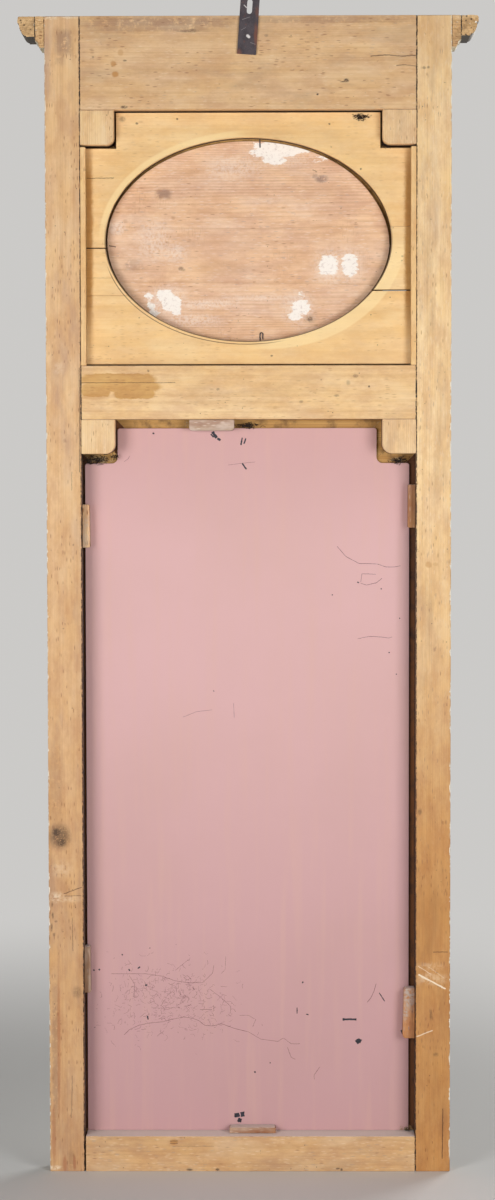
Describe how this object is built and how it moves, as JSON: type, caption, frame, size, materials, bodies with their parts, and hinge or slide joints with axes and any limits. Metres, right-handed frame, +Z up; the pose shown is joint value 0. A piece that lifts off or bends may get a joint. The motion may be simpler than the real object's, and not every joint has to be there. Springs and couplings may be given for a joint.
{
  "type": "trumeau mirror",
  "caption": "Tall wall mirror: a joined pine frame with a stepped mirror glass below, an oval panel above, applied mouldings, a cornice and an iron hanging strap.",
  "frame": {"origin": "middle of the bottom rail's underside, halfway through the thickness of the joined frame", "axes": "+Z up, +Y out of the front of the mirror, +X to the right as seen from behind, so the back faces -Y"},
  "size_m": [0.75, 0.0918, 1.9384],
  "materials": {
    "frame_pine": "bare aged pine behind, cream paint in front",
    "panel_pine": "golden stained pine behind, cream paint in front",
    "oval_wood": "bare planed wood behind, cream paint in front",
    "wedge_wood": "bare dusty wood",
    "mirror": "silvered, with pink protective paint behind",
    "gilt_wood": "worn gilding on gesso",
    "painted_wood": "old cream paint on gesso",
    "iron": "dull dark grey"
  },
  "bodies": {
    "root": {"left_stile": "frame_pine", "right_stile": "frame_pine", "top_rail": "frame_pine", "mid_rail": "frame_pine", "bottom_rail": "frame_pine", "upper_left_corner_block": "frame_pine", "upper_right_corner_block": "frame_pine", "lower_left_corner_block": "frame_pine", "lower_right_corner_block": "frame_pine", "panel_strip_left": "frame_pine", "panel_strip_right": "frame_pine", "surround_upper_board": "panel_pine", "surround_lower_board": "panel_pine", "surround_left_piece": "panel_pine", "surround_right_piece": "panel_pine", "oval_board": "oval_wood", "oval_nail_top": "iron", "oval_nail_bottom": "iron", "mirror_glass": "mirror", "wedge_left_upper": "wedge_wood", "wedge_left_lower": "wedge_wood", "wedge_right_upper": "wedge_wood", "wedge_right_lower": "wedge_wood", "wedge_top": "wedge_wood", "wedge_bottom": "wedge_wood", "mirror_moulding_bottom": "gilt_wood", "mirror_moulding_right": "gilt_wood", "mirror_moulding_right_notch_under": "gilt_wood", "mirror_moulding_right_notch_side": "gilt_wood", "mirror_moulding_top": "gilt_wood", "mirror_moulding_left_notch_side": "gilt_wood", "mirror_moulding_left_notch_under": "gilt_wood", "mirror_moulding_left": "gilt_wood", "panel_moulding_bottom": "gilt_wood", "panel_moulding_right": "gilt_wood", "panel_moulding_right_notch_under": "gilt_wood", "panel_moulding_right_notch_side": "gilt_wood", "panel_moulding_top": "gilt_wood", "panel_moulding_left_notch_side": "gilt_wood", "panel_moulding_left_notch_under": "gilt_wood", "panel_moulding_left": "gilt_wood", "oval_moulding": "gilt_wood", "cornice_backing_right": "painted_wood", "cornice_backing_front": "painted_wood", "cornice_backing_left": "painted_wood", "cornice_ovolo_right": "gilt_wood", "cornice_ovolo_front": "gilt_wood", "cornice_ovolo_left": "gilt_wood", "hanging_strap": "iron", "hanger_screw_1": "iron", "hanger_screw_2": "iron", "hanger_screw_3": "iron"}
  },
  "joints": []
}
